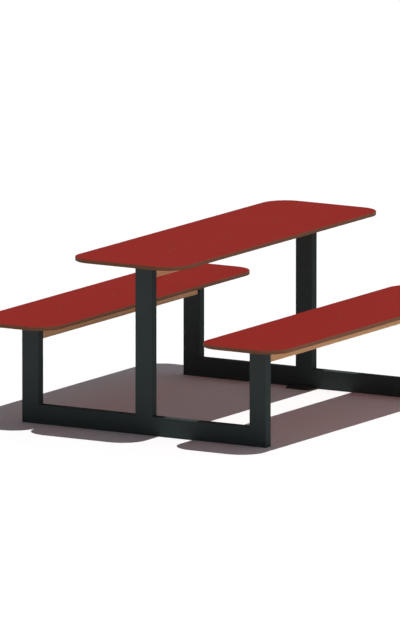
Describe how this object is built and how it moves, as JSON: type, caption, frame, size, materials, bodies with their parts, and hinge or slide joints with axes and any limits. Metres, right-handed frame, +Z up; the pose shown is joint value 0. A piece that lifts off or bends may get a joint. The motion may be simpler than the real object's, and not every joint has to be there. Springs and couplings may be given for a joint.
{
  "type": "table and bench set",
  "caption": "Outdoor table with a bench along each side: laminate boards on timber rails between two welded steel tube frames.",
  "frame": {"origin": "on the floor, below the middle of the table", "axes": "+X from the left bench to the right bench, +Y along the boards, +Z up"},
  "size_m": [1.5, 1.72, 0.75],
  "materials": {
    "coated_steel": "fine matt powder coat",
    "red_laminate": "satin compact laminate with a brown core",
    "timber": "planed and oiled",
    "stainless_steel": "plain stainless"
  },
  "bodies": {
    "root": {"front_base_beam": "coated_steel", "front_left_seat_post": "coated_steel", "front_left_seat_bearer": "coated_steel", "front_left_seat_rail_fin": "coated_steel", "front_table_post": "coated_steel", "front_table_bearer": "coated_steel", "front_table_rail_fin": "coated_steel", "front_right_seat_post": "coated_steel", "front_right_seat_bearer": "coated_steel", "front_right_seat_rail_fin": "coated_steel", "front_anchor_plate": "coated_steel", "rear_base_beam": "coated_steel", "rear_left_seat_post": "coated_steel", "rear_left_seat_bearer": "coated_steel", "rear_left_seat_rail_fin": "coated_steel", "rear_table_post": "coated_steel", "rear_table_bearer": "coated_steel", "rear_table_rail_fin": "coated_steel", "rear_right_seat_post": "coated_steel", "rear_right_seat_bearer": "coated_steel", "rear_right_seat_rail_fin": "coated_steel", "rear_anchor_plate": "coated_steel", "left_seat_rail": "timber", "left_seat_board": "red_laminate", "left_seat_board_screws": "stainless_steel", "left_seat_bearer_screws": "stainless_steel", "left_seat_connector_bolts": "stainless_steel", "left_seat_sleeve_nuts": "stainless_steel", "table_rail": "timber", "table_board": "red_laminate", "table_board_screws": "stainless_steel", "table_bearer_screws": "stainless_steel", "table_connector_bolts": "stainless_steel", "table_sleeve_nuts": "stainless_steel", "right_seat_rail": "timber", "right_seat_board": "red_laminate", "right_seat_board_screws": "stainless_steel", "right_seat_bearer_screws": "stainless_steel", "right_seat_connector_bolts": "stainless_steel", "right_seat_sleeve_nuts": "stainless_steel"}
  },
  "joints": []
}
